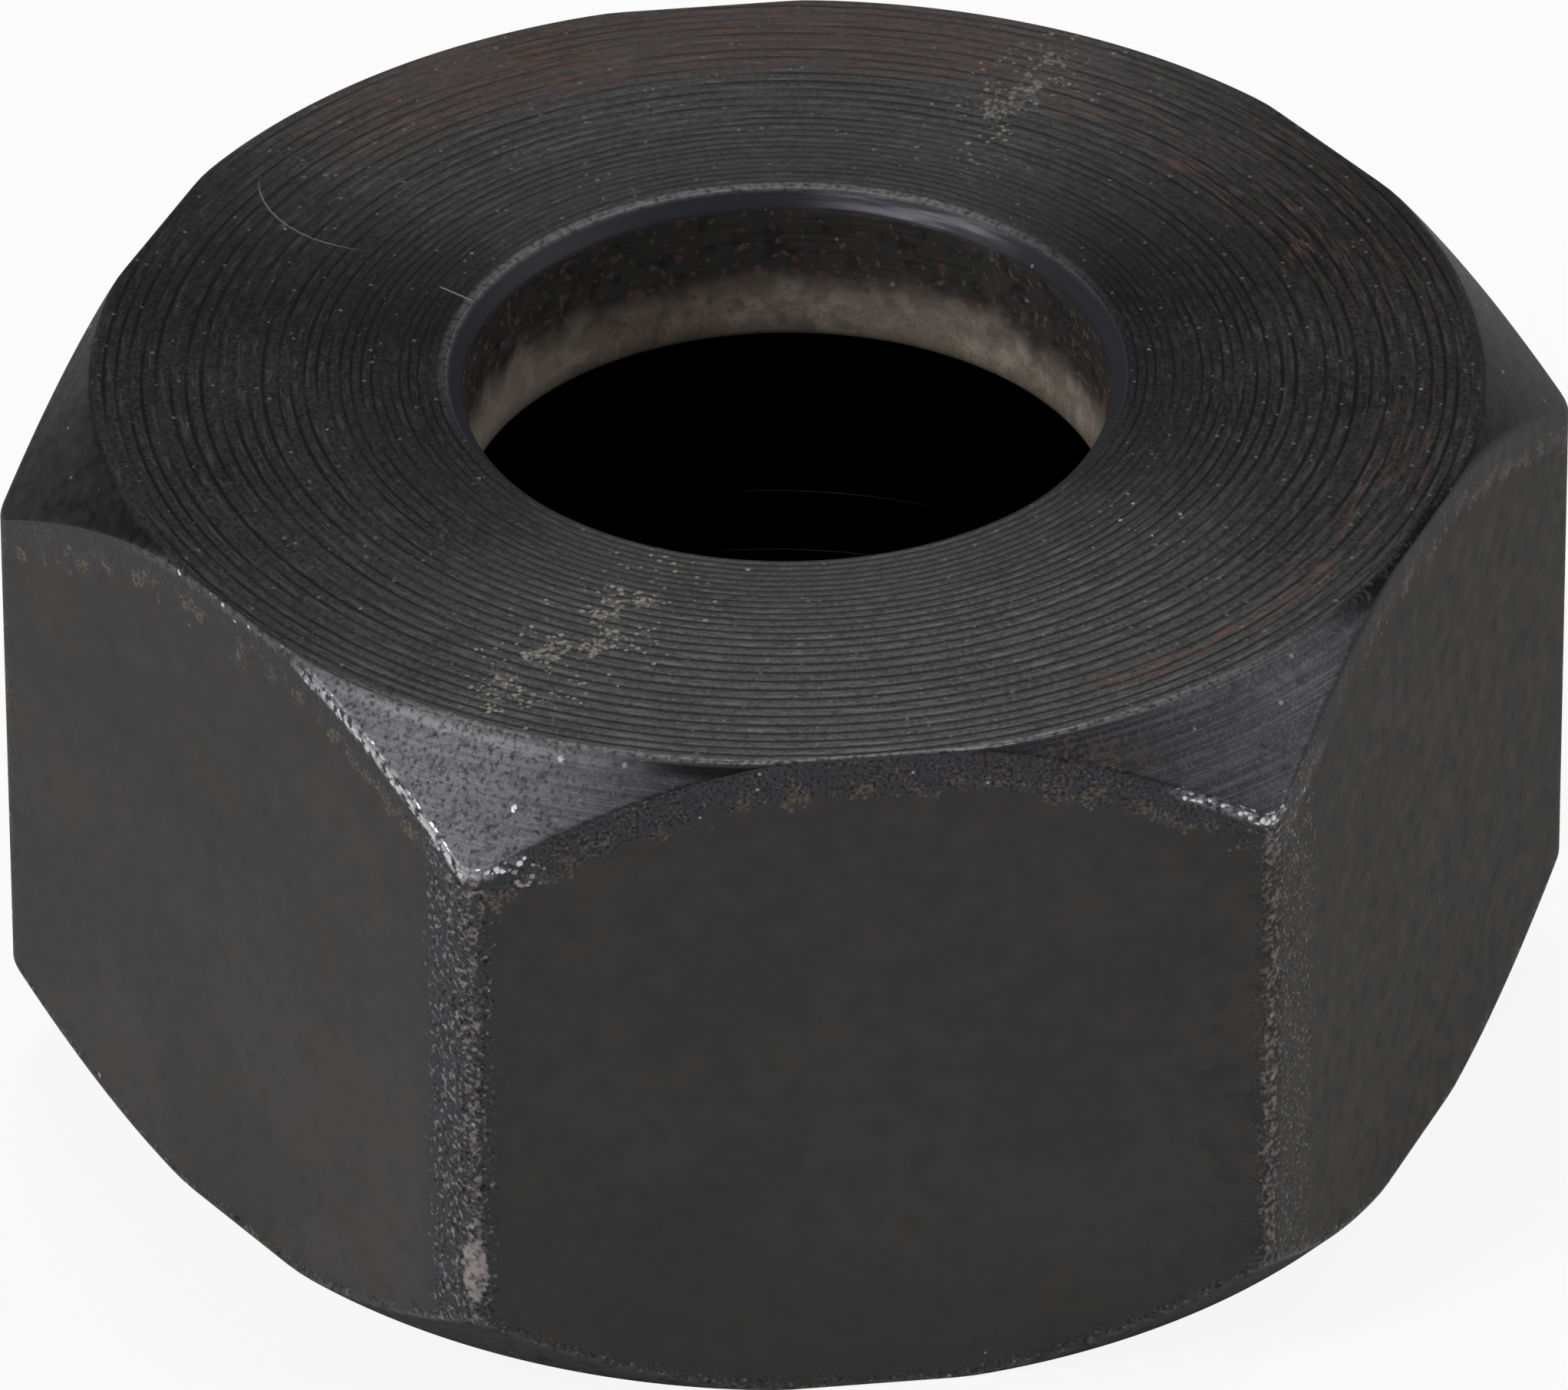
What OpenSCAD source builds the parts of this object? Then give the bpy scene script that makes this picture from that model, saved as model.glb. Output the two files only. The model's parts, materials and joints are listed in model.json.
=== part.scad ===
// Clamping nut: a hexagon nut, bevelled at both ends, that draws a collet into its spindle.
// The tool's shank passes through the bore in the turned top face.
// The collet seat and the spindle thread open to the underside, which stands at z = 0.
// The nut's axis is Z, two of its flats face -Y and +Y, and all lengths are in millimetres.

/* [Hexagon] */
// Width across the flats, the spanner size
across_flats = 19; // [17:0.5:24]
// Height from the underside to the top face
nut_height = 10.4; // [9:0.1:14]
// Radius of the arcs that round the six upright edges
corner_r = 0.5; // [0.2:0.05:1.5]
// Angle that each of these arcs spans, where 60 would run into the flats with no edge left
corner_arc = 50; // [30:1:56]

/* [End bevels] */
// How far the circle of the top face passes the middle of each flat
top_past_flat = 0.07; // [-0.6:0.01:0.4]
// Slope of the top bevel, from the top face
top_bevel_angle = 48; // [25:1:60]
// How far the circle of the underside passes the middle of each flat
foot_past_flat = 0.06; // [-0.6:0.01:0.4]
// Slope of the bottom bevel, from the underside
foot_bevel_angle = 48; // [25:1:60]

/* [Shank bore] */
// Diameter of the bore in the top face
bore_d = 8.9; // [7:0.1:11]
// Length of the bore, from the top face to the collet seat
bore_length = 2.3; // [1.2:0.1:3.5]
// Width of the bevel on the bore's upper rim
rim_bevel = 0.25; // [0.1:0.05:0.6]

/* [Collet seat] */
// Full angle of the cone that closes the collet
seat_angle = 90; // [60:5:110]
// Width of the flat step between the seat and the run-out groove, inside the thread's crests
seat_step = 0.15; // [0.05:0.05:0.4]

/* [Spindle thread] */
// Outside diameter of the thread
thread_d = 14; // [12.5:0.5:16]
// Pitch of the thread
thread_pitch = 1; // [0.75:0.25:1.5]
// Length of the run-out groove above the thread
runout_length = 1.1; // [0.6:0.1:2]
// How far the run-out groove is cut past the thread's outside diameter, on the radius
runout_room = 0.1; // [0.05:0.05:0.4]
// How far the lead-in bevel opens past the thread's outside diameter, on the radius
lead_in_room = 0.25; // [0.05:0.05:0.6]

/* [Hidden] */
$fn = 128;

// Hexagon
sides = 6;
side_angle = 360 / sides;
flat_r = across_flats / 2;
corner_reach = flat_r / cos(side_angle / 2);
// Reach of the point that a corner's arc is drawn about, so that the arc meets both flats at its ends
arc_reach = corner_reach - corner_r * (sin(corner_arc / 2) * tan(side_angle / 2) + cos(corner_arc / 2));
// Wedge from that point, as wide as the corner's turn and long enough to pass the corner
wedge_l = 2 * corner_r;
wedge_half_w = wedge_l * tan(side_angle / 2);

// Turned outside, cut wider and longer than the hexagon so that no two faces lie on each other
cut_past = 1;
top_face_r = flat_r + top_past_flat;
foot_face_r = flat_r + foot_past_flat;
turned_r = corner_reach + cut_past;
top_bevel_z = nut_height - (turned_r - top_face_r) * tan(top_bevel_angle);
foot_bevel_z = (turned_r - foot_face_r) * tan(foot_bevel_angle);

// Bore, from the top face down
bore_r = bore_d / 2;
rim_r = bore_r + rim_bevel;
seat_top_z = nut_height - bore_length;
// A metric thread is 5/8 as deep as the sharp triangle of its pitch
thread_depth = 5 / 8 * thread_pitch * sqrt(3) / 2;
crest_r = thread_d / 2 - thread_depth;
runout_r = thread_d / 2 + runout_room;
lead_in_r = thread_d / 2 + lead_in_room;
seat_r = crest_r - seat_step;
seat_mouth_z = seat_top_z - (seat_r - bore_r) / tan(seat_angle / 2);
thread_top_z = seat_mouth_z - runout_length;
thread_foot_z = lead_in_r - crest_r;

// Outline of the hexagon, with an arc at each corner
module rounded_hexagon() {
    difference() {
        circle(r = corner_reach, $fn = sides);
        for (corner = [0 : sides - 1])
            rotate(corner * side_angle)
                translate([arc_reach, 0])
                    past_arc();
    }
}

// What a corner has past its arc, to be cut away
module past_arc() {
    difference() {
        polygon([[0, 0], [wedge_l, -wedge_half_w], [wedge_l, wedge_half_w]]);
        circle(r = corner_r);
    }
}

// Round blank with both end bevels, which cut the hexagon's corners in curved edges
module turned_outside() {
    rotate_extrude()
        polygon([
            [0, 0],
            [foot_face_r, 0],
            [turned_r, foot_bevel_z],
            [turned_r, top_bevel_z],
            [top_face_r, nut_height],
            [0, nut_height]
        ]);
}

// Everything bored out of the nut, at the crests of the thread
module stepped_bore() {
    rotate_extrude()
        polygon([
            [0, -cut_past],
            [lead_in_r, -cut_past],
            [lead_in_r, 0],
            [crest_r, thread_foot_z],
            [crest_r, thread_top_z],
            [runout_r, thread_top_z],
            [runout_r, seat_mouth_z],
            [seat_r, seat_mouth_z],
            [bore_r, seat_top_z],
            [bore_r, nut_height - rim_bevel],
            [rim_r, nut_height],
            [rim_r, nut_height + cut_past],
            [0, nut_height + cut_past]
        ]);
}

// The whole nut, blackened steel
module clamping_nut() {
    color([0.16, 0.16, 0.16])
        difference() {
            intersection() {
                translate([0, 0, -cut_past])
                    linear_extrude(nut_height + 2 * cut_past)
                        rounded_hexagon();
                turned_outside();
            }
            stepped_bore();
        }
}

clamping_nut();
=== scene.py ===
# Looks of a clamping nut of blackened steel: one detailed mesh, its finishes, a floor, lights and a camera

import json
import math

import bpy
import numpy as np
from mathutils import Matrix, Vector


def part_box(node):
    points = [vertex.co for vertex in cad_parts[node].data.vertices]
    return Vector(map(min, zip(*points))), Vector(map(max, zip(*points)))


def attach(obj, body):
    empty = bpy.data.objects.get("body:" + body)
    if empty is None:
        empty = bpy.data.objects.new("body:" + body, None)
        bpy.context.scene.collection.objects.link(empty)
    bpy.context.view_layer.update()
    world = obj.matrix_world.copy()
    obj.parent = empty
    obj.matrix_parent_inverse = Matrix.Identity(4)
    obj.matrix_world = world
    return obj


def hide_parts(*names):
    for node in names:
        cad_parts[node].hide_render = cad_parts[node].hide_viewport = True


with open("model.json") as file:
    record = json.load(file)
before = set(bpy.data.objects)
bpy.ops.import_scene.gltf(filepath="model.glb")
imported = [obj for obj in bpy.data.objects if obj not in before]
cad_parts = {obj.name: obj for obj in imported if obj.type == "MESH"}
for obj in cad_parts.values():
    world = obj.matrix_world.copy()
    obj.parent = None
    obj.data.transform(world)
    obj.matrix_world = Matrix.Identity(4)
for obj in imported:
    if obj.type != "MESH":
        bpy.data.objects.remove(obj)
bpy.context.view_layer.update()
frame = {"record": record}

# Sizes in millimetres and degrees: the frame gives the main ones, and the rest repeat the part's source
MM = 0.001
NODE = "clamping_nut"
_, node_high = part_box(NODE)
mount_dims = {mount["name"]: mount["dims"] for mount in frame["record"]["mounts"]}
FLAT_R = node_high.y / MM
HEIGHT = node_high.z / MM
SIDES = 6
SIDE_ANGLE = 360 / SIDES
HALF_TURN = math.radians(SIDE_ANGLE / 2)
CORNER_R = 0.5
CORNER_ARC = 50
HALF_ARC = math.radians(CORNER_ARC / 2)
CORNER_REACH = FLAT_R / math.cos(HALF_TURN)
ARC_REACH = CORNER_REACH - CORNER_R * (math.sin(HALF_ARC) * math.tan(HALF_TURN) + math.cos(HALF_ARC))
TOP_FACE_R = FLAT_R + 0.07
FOOT_FACE_R = FLAT_R + 0.06
BEVEL_SLOPE = math.tan(math.radians(48))
BROKEN_EDGE = 0.015
BORE_R = mount_dims["shank_bore"]["r_mm"]
RIM_BEVEL = 0.25
RIM_R = BORE_R + RIM_BEVEL
SEAT_TOP_Z = HEIGHT - RIM_BEVEL - mount_dims["shank_bore"]["length_mm"]
SEAT_SLOPE = math.tan(math.radians(45))
THREAD_PITCH = 1.0
THREAD_ROOT_R = 7.0
CREST_R = mount_dims["spindle_thread"]["r_mm"]
RUNOUT_R = THREAD_ROOT_R + 0.1
LEAD_IN_R = THREAD_ROOT_R + 0.25
SEAT_R = CREST_R - 0.15
SEAT_MOUTH_Z = SEAT_TOP_Z - (SEAT_R - BORE_R) / SEAT_SLOPE
THREAD_FOOT_Z = LEAD_IN_R - CREST_R
THREAD_TOP_Z = THREAD_FOOT_Z + mount_dims["spindle_thread"]["length_mm"]

# Fine shape: softened edges, and the passes of a facing tool, whose pitch changes with the radius
EDGE_SOFTNESS = 0.12
FEED_R = (5.4, 6.3, 7.2, 8.5, 9.1)
FEED_PITCH = (0.126, 0.162, 0.210, 0.210, 0.167)
PASS_CROWN_R = 1.0
LINE_DEPTH = 0.006
LINE_HALF_SHARE = 0.22
PASS_ROWS = (LINE_HALF_SHARE, 0.5, 1 - LINE_HALF_SHARE, 1)
SEED = 5


def outline_points():
    """Points (x, y) of the rounded hexagon, one for each column of the mesh, closest at the corners."""
    arc_steps = 6
    flat_steps = 52
    evenness = 0.3
    turn = np.linspace(-HALF_ARC, HALF_ARC, arc_steps + 1)
    arc = np.stack([ARC_REACH + CORNER_R * np.cos(turn), CORNER_R * np.sin(turn)], axis=1)
    share = np.arange(1, flat_steps) / flat_steps
    along = evenness * share + (1 - evenness) * (1 - np.cos(np.pi * share)) / 2
    direction = np.array([-math.sin(HALF_TURN), math.cos(HALF_TURN)])
    flat_length = CORNER_REACH - 2 * CORNER_R * math.sin(HALF_ARC) / math.cos(HALF_TURN)
    flat = arc[-1] + np.outer(along * flat_length, direction)
    side = np.concatenate([arc, flat])
    points = []
    for corner in range(SIDES):
        angle = math.radians(corner * SIDE_ANGLE)
        rotation = np.array([[math.cos(angle), -math.sin(angle)], [math.sin(angle), math.cos(angle)]])
        points.append(side @ rotation.T)
    return np.concatenate(points)


def section_corners(reach):
    """Corners (r, z) of the half section in each column: up the inside, over the top, down the outside."""
    top_r = np.minimum(TOP_FACE_R, reach - BROKEN_EDGE)
    foot_r = np.minimum(FOOT_FACE_R, reach - BROKEN_EDGE)
    corners = [
        (LEAD_IN_R, 0),
        (CREST_R, THREAD_FOOT_Z),
        (CREST_R, THREAD_TOP_Z),
        (RUNOUT_R, THREAD_TOP_Z),
        (RUNOUT_R, SEAT_MOUTH_Z),
        (SEAT_R, SEAT_MOUTH_Z),
        (BORE_R, SEAT_TOP_Z),
        (BORE_R, HEIGHT - RIM_BEVEL),
        (RIM_R, HEIGHT),
        (top_r, HEIGHT),
        (reach, HEIGHT - (reach - top_r) * BEVEL_SLOPE),
        (reach, (reach - foot_r) * BEVEL_SLOPE),
        (foot_r, 0),
    ]
    columns = np.ones_like(reach)
    return np.array([[r * columns, z * columns] for r, z in corners])


# Spans of the section, each named by the corner where it starts: the threaded inside, then the rest
LEAD_IN, THREAD, THREAD_END, RUNOUT, SEAT_STEP, SEAT = range(6)
LAND, RIM, FACE, BEVEL, FLAT, FOOT_BEVEL, FOOT = range(6, 13)

# Rows of each span between its edges, other than the top face, whose rows follow the tool's passes
SPAN_ROWS = {
    LEAD_IN: 4,
    THREAD: 34,
    THREAD_END: 1,
    RUNOUT: 3,
    SEAT_STEP: 1,
    SEAT: 5,
    LAND: 8,
    RIM: 3,
    BEVEL: 10,
    FLAT: 14,
    FOOT_BEVEL: 6,
    FOOT: 6,
}

# Rows across each softened edge, as shares of its width
EDGE_ROWS = (-0.5, -0.25, 0, 0.25, 0.5)
INNER_EDGE_ROWS = (-0.5, 0, 0.5)


def facing_lines():
    """Radii of the lines between the facing tool's passes, from the bore outwards."""
    lines = [RIM_R]
    while lines[-1] < TOP_FACE_R - FEED_PITCH[-1]:
        lines.append(lines[-1] + np.interp(lines[-1], FEED_R, FEED_PITCH))
    return np.array(lines)


def section_rows(start, length):
    """Each row's distance along the section, per column, and the span that follows it."""
    rows = []
    for span in range(len(length)):
        edge_rows = INNER_EDGE_ROWS if THREAD <= span <= SEAT else EDGE_ROWS
        for offset in edge_rows:
            before = (span - 1) % len(length)
            rows.append((start[span] + offset * EDGE_SOFTNESS, before if offset < 0 else span))
        if span == FACE:
            lines = facing_lines()
            inset = (lines[:-1, None] + np.diff(lines)[:, None] * PASS_ROWS).ravel() - RIM_R
            rows += [(start[span] + distance, span) for distance in inset]
        else:
            count = SPAN_ROWS[span]
            rows += [(start[span] + length[span] * (i + 1) / (count + 1), span) for i in range(count)]
    order = np.argsort([distance.mean() for distance, span in rows])
    distances = np.sort(np.array([rows[i][0] for i in order]), axis=0)
    return distances, np.array([rows[i][1] for i in order])


def softened_section(distances, start, total, corners):
    """Points (r, z) at those distances, with the section's corners rounded by averaging along it."""
    samples = 9
    reach_of_mean = np.linspace(-0.5, 0.5, samples) * EDGE_SOFTNESS
    points = np.zeros((2, *distances.shape))
    for column in range(distances.shape[1]):
        known = np.append(start[:, column], total[column])
        for axis in range(2):
            values = np.append(corners[:, axis, column], corners[0, axis, column])
            where = (distances[:, column, None] + reach_of_mean) % total[column]
            points[axis, :, column] = np.interp(where, known, values).mean(axis=1)
    return points


def thread_r(z, angles):
    """Radius of the right-hand thread's wall: flat crests, flat roots and straight flanks between them."""
    crest_share = 1 / 4
    root_share = 1 / 8
    phase = (z / THREAD_PITCH - angles / (2 * np.pi)) % 1
    from_root = np.abs(phase - 0.5)
    flank = (1 - crest_share - root_share) / 2
    depth = np.clip(1 - (from_root - root_share / 2) / flank, 0, 1)
    return CREST_R + (THREAD_ROOT_R - CREST_R) * depth


def faced_depth(r, generator):
    """Depth of the face at radius r below the crowns of its passes, and 1 on a line between passes."""
    lines = facing_lines()
    pitch = np.diff(lines)
    ring = np.clip(np.searchsorted(lines, r, side="right") - 1, 0, len(pitch) - 1)
    across = np.clip((r - lines[ring]) / pitch[ring], 0, 1)
    crown_depth = (pitch[ring] * (across - 0.5)) ** 2 / (2 * PASS_CROWN_R)
    line = np.clip(1 - np.minimum(across, 1 - across) / LINE_HALF_SHARE, 0, 1)
    line_depth = LINE_DEPTH * generator.uniform(0.5, 1.5, len(lines))
    return crown_depth + line_depth[ring + (across > 0.5)] * line, line


def store_numbers(mesh, name, values):
    """Keeps one number for each point of the mesh, for its materials."""
    attribute = mesh.attributes.new(name, "FLOAT", "POINT")
    attribute.data.foreach_set("value", values.astype(np.float32).ravel())


def add_chart(mesh, distances, outline, row, column):
    """One rectangular chart: round the nut in one direction and along its section in the other."""
    round_steps = np.hypot(*(np.roll(outline, -1, axis=0) - outline).T)
    across = np.append(0, np.cumsum(round_steps)) / round_steps.sum()
    mean = distances.mean(axis=1)
    along = np.append(mean, mean[0] + mean[-1] + np.diff(mean).mean())
    along = (along - along[0]) / (along[-1] - along[0])
    corner_rows = np.stack([row, row + 1, row + 1, row], axis=-1)
    corner_columns = np.stack([column, column, column + 1, column + 1], axis=-1)
    places = np.stack([across[corner_columns], along[corner_rows]], axis=-1)
    chart = mesh.uv_layers.new(name="OFBake")
    chart.data.foreach_set("uv", places.astype(np.float32).ravel())


def grid_faces(rows, columns):
    """Row and column of each face of a grid that is closed both ways, and the four points of each face."""
    row, column = np.meshgrid(np.arange(rows), np.arange(columns), indexing="ij")
    next_row = (row + 1) % rows
    next_column = (column + 1) % columns
    quads = np.stack(
        [
            row * columns + column,
            next_row * columns + column,
            next_row * columns + next_column,
            row * columns + next_column,
        ],
        axis=-1,
    )
    return row, column, quads.reshape(-1, 4)


def store_distances(mesh, angles, reach, distances, start):
    """Keeps how far each point is from the upright edges, and from the section's edges along the section."""
    corner_angle = (angles + HALF_TURN) % (2 * HALF_TURN) - HALF_TURN
    from_corner = np.abs(reach * np.sin(corner_angle)) / math.cos(HALF_TURN)
    store_numbers(mesh, "from_corner", np.broadcast_to(from_corner, distances.shape))
    store_numbers(mesh, "from_rim", distances - start[FACE])
    store_numbers(mesh, "from_face_edge", distances - start[BEVEL])
    store_numbers(mesh, "from_top_edge", distances - start[FLAT])
    store_numbers(mesh, "from_foot_edge", distances - start[FOOT_BEVEL])


def give_finishes(mesh, materials, spans, columns):
    """Each row of faces has the finish of its span."""
    names = list(materials)
    for material in materials.values():
        mesh.materials.append(material)
    indices = [names.index(SPAN_FINISH.get(span, "threaded_inside")) for span in spans]
    mesh.polygons.foreach_set("material_index", np.repeat(indices, columns).astype(np.int32))


def build_nut(materials):
    """The nut as one closed mesh: columns round the axis and rows along the section."""
    generator = np.random.default_rng(SEED)
    outline = outline_points()
    angles = np.arctan2(outline[:, 1], outline[:, 0])
    reach = np.hypot(outline[:, 0], outline[:, 1])
    corners = section_corners(reach)
    steps = np.roll(corners, -1, axis=0) - corners
    length = np.hypot(steps[:, 0], steps[:, 1])
    ends = np.cumsum(length, axis=0)
    start = ends - length
    distances, spans = section_rows(start, length)
    r, z = softened_section(distances, start, ends[-1], corners)
    line = np.zeros_like(r)
    face_rows = spans == FACE
    depth, line[face_rows] = faced_depth(r[face_rows], generator)
    z[face_rows] -= depth
    thread_rows = (spans <= THREAD_END) & (z[:, 0] > 0)
    r[thread_rows] = np.maximum(r[thread_rows], thread_r(z[thread_rows], angles))

    rows, columns = r.shape
    vertices = np.stack([r * np.cos(angles), r * np.sin(angles), z], axis=-1).reshape(-1, 3) * MM
    row, column, quads = grid_faces(rows, columns)
    mesh = bpy.data.meshes.new("nut")
    mesh.from_pydata(vertices.tolist(), [], quads.tolist())
    mesh.shade_smooth()
    add_chart(mesh, distances, outline, row, column)
    store_distances(mesh, angles, reach, distances, start)
    store_numbers(mesh, "line", line)
    give_finishes(mesh, materials, spans, columns)
    nut = bpy.data.objects.new("nut", mesh)
    bpy.context.scene.collection.objects.link(nut)
    return nut


# Materials: which finish each span of the section has, other than the inside
SPAN_FINISH = {
    LAND: "bored_wall",
    RIM: "bored_wall",
    FACE: "turned_face",
    BEVEL: "turned_bevel",
    FLAT: "drawn_flat",
    FOOT_BEVEL: "turned_bevel",
    FOOT: "turned_bevel",
}

# Directions round the axis in degrees: the middles of the flats, and three of the upright edges
FRONT = -90
LEFT = FRONT - SIDE_ANGLE
RIGHT = FRONT + SIDE_ANGLE
BACK = 90
BACK_LEFT = BACK + SIDE_ANGLE
BACK_RIGHT = BACK - SIDE_ANGLE
LEFT_EDGE = FRONT - SIDE_ANGLE / 2
RIGHT_EDGE = FRONT + SIDE_ANGLE / 2
FAR_RIGHT_EDGE = RIGHT + SIDE_ANGLE / 2

# Colours that more than one finish uses
BLACK = (0.0035, 0.0035, 0.0037)
PIT = (0.010, 0.0095, 0.009)
RUST = (0.050, 0.027, 0.020)
PALE_RUST = (0.120, 0.066, 0.046)
DUST = (0.36, 0.36, 0.37)
GREY_STEEL = (0.115, 0.116, 0.124)
DULL_STEEL = (0.13, 0.13, 0.128)
RUBBED_STEEL = (0.15, 0.15, 0.152)
BRIGHT_STEEL = (0.58, 0.58, 0.60)

# Sockets of the Mix node for numbers and for colours: the two values and the result
MIX_SOCKETS = {"FLOAT": (2, 3, 0), "RGBA": (6, 7, 2)}


class Finish:
    """A material made of layers over a plain one. A value is a number, a colour or another node's output."""

    def __init__(self, name, colour, roughness, specular):
        self.material = bpy.data.materials.new(name)
        self.material.use_nodes = True
        self.tree = self.material.node_tree
        self.surface = self.tree.nodes["Principled BSDF"]
        self.looks = {
            "Base Color": (*colour, 1),
            "Roughness": roughness,
            "Metallic": 0.0,
            "Specular IOR Level": specular,
        }
        self.normal = None
        metres = self.node("TexCoord").outputs["Object"]
        self.place = self.vector("MULTIPLY", metres, (1 / MM, 1 / MM, 1 / MM))
        flat_place = self.vector("MULTIPLY", self.place, (1, 1, 0))
        self.outward = self.vector("NORMALIZE", flat_place)
        self.r = self.vector("LENGTH", flat_place)
        self.z = self.vector("DOT_PRODUCT", self.place, (0, 0, 1))

    def node(self, kind, **settings):
        node = self.tree.nodes.new("ShaderNode" + kind)
        for setting, value in settings.items():
            setattr(node, setting, value)
        return node

    def feed(self, socket, value):
        if isinstance(value, bpy.types.NodeSocket):
            self.tree.links.new(value, socket)
        else:
            socket.default_value = value

    def math(self, operation, first, second=0.0):
        node = self.node("Math", operation=operation)
        self.feed(node.inputs[0], first)
        self.feed(node.inputs[1], second)
        return node.outputs[0]

    def times(self, *values):
        product = values[0]
        for value in values[1:]:
            product = self.math("MULTIPLY", product, value)
        return product

    def largest(self, *values):
        result = values[0]
        for value in values[1:]:
            result = self.math("MAXIMUM", result, value)
        return result

    def vector(self, operation, first, second=(0, 0, 0)):
        node = self.node("VectorMath", operation=operation)
        self.feed(node.inputs[0], first)
        self.feed(node.inputs[1], second)
        return node.outputs["Value" if operation in ("LENGTH", "DOT_PRODUCT") else "Vector"]

    def fade(self, value, empty, full):
        """A smooth step from 0 where the value is at empty to 1 where it is at full."""
        node = self.node("MapRange", interpolation_type="SMOOTHSTEP")
        self.feed(node.inputs["Value"], value)
        self.feed(node.inputs["From Min"], empty)
        self.feed(node.inputs["From Max"], full)
        return node.outputs[0]

    def distance(self, name):
        """One of the numbers kept in the mesh."""
        return self.node("Attribute", attribute_name=name).outputs["Fac"]

    def close_to(self, name, reach):
        """1 on an edge of the mesh, 0 from reach on to both sides of it."""
        return self.fade(self.math("ABSOLUTE", self.distance(name)), reach, 0.25 * reach)

    def ring_place(self, length, width, across=None):
        """Coordinates for marks that run round the axis, about so long and so wide."""
        middle_r = 7.0
        along = self.vector("MULTIPLY", self.outward, (middle_r / length, middle_r / length, 0))
        scaled = self.math("DIVIDE", across or self.r, width)
        combine = self.node("CombineXYZ")
        self.feed(combine.inputs["Z"], scaled)
        return self.vector("ADD", along, combine.outputs[0])

    def noise(self, size, place=None, detail=2.0):
        node = self.node("TexNoise")
        self.feed(node.inputs["Vector"], place or self.place)
        node.inputs["Scale"].default_value = 1 / size
        node.inputs["Detail"].default_value = detail
        return node.outputs["Fac"]

    def shifted(self, seed):
        """The place moved by seed in every direction, so that two patterns don't coincide."""
        return self.vector("ADD", self.place, (seed, seed, seed))

    def flecks(self, size, crowding, seed, softness=0.06):
        """Irregular flecks about that large: none where crowding is 0, and almost only flecks at 1."""
        border = 0.78
        level = self.math("ADD", self.noise(size, self.shifted(seed)), self.math("MULTIPLY", crowding, 0.5))
        return self.fade(level, border, border + softness)

    def specks(self, spacing, radius, density, seed):
        """Round specks about spacing apart, up to radius in size. Density is the share of places with one."""
        cells = self.node("TexVoronoi")
        self.feed(cells.inputs["Vector"], self.shifted(seed))
        cells.inputs["Scale"].default_value = 1 / spacing
        split = self.node("SeparateColor")
        self.feed(split.inputs[0], cells.outputs["Color"])
        kept = self.math("LESS_THAN", split.outputs["Red"], density)
        size = self.math("MULTIPLY", split.outputs["Green"], radius / spacing)
        inside = self.fade(cells.outputs["Distance"], size, self.math("MULTIPLY", size, 0.5))
        return self.times(inside, kept)

    def sector(self, angle, spread):
        """1 round an angle about the axis, 0 from spread on to both sides of it, in degrees."""
        toward = (math.cos(math.radians(angle)), math.sin(math.radians(angle)), 0)
        nearness = self.vector("DOT_PRODUCT", self.outward, toward)
        return self.fade(nearness, math.cos(math.radians(spread)), math.cos(math.radians(spread / 3)))

    def patch(self, angle, spread, inner_r, outer_r):
        """1 in a stretch of the top face round an angle and between two radii, with soft borders."""
        softness = 0.3
        past_inner = self.fade(self.r, inner_r - softness, inner_r + softness)
        before_outer = self.fade(self.r, outer_r + softness, outer_r - softness)
        return self.times(self.sector(angle, spread), past_inner, before_outer)

    def scrape(self, start, end, half_width):
        """1 along a straight line on the top, 0 from half_width on to both sides of it and past its ends."""
        start = Vector((*start, 0))
        along = Vector((*end, 0)) - start
        direction = along.normalized()
        side = Vector((-direction.y, direction.x, 0))
        offset = self.vector("SUBTRACT", self.place, tuple(start))
        forward = self.vector("DOT_PRODUCT", offset, tuple(direction))
        sideways = self.math("ABSOLUTE", self.vector("DOT_PRODUCT", offset, tuple(side)))
        from_start = self.fade(forward, -half_width, half_width)
        before_end = self.fade(forward, along.length + half_width, along.length - half_width)
        return self.times(self.fade(sideways, half_width, 0.0), from_start, before_end)

    def spot(self, centre, reach):
        """1 in the middle of a round or oval spot, 0 from its reach in x, y and z on."""
        offset = self.vector("SUBTRACT", self.place, centre)
        scaled = self.vector("DIVIDE", offset, reach)
        return self.fade(self.vector("LENGTH", scaled), 1.0, 0.5)

    def blend(self, share, first, second, kind):
        first_socket, second_socket, output = MIX_SOCKETS[kind]
        node = self.node("Mix", data_type=kind)
        self.feed(node.inputs[0], share)
        self.feed(node.inputs[first_socket], first)
        self.feed(node.inputs[second_socket], second)
        return node.outputs[output]

    def cover(self, share, colour, roughness=None, metallic=None, specular=None):
        """Lays another look over what is there, as far as share goes."""
        self.looks["Base Color"] = self.blend(share, self.looks["Base Color"], (*colour, 1), "RGBA")
        numbers = {"Roughness": roughness, "Metallic": metallic, "Specular IOR Level": specular}
        for name, number in numbers.items():
            if number is not None:
                self.looks[name] = self.blend(share, self.looks[name], number, "FLOAT")

    def relief(self, height, depth):
        """Fine relief, as deep as depth between heights of 0 and 1."""
        bump = self.node("Bump")
        bump.inputs["Distance"].default_value = depth * MM
        self.feed(bump.inputs["Height"], height)
        if self.normal is not None:
            self.feed(bump.inputs["Normal"], self.normal)
        self.normal = bump.outputs[0]

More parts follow.
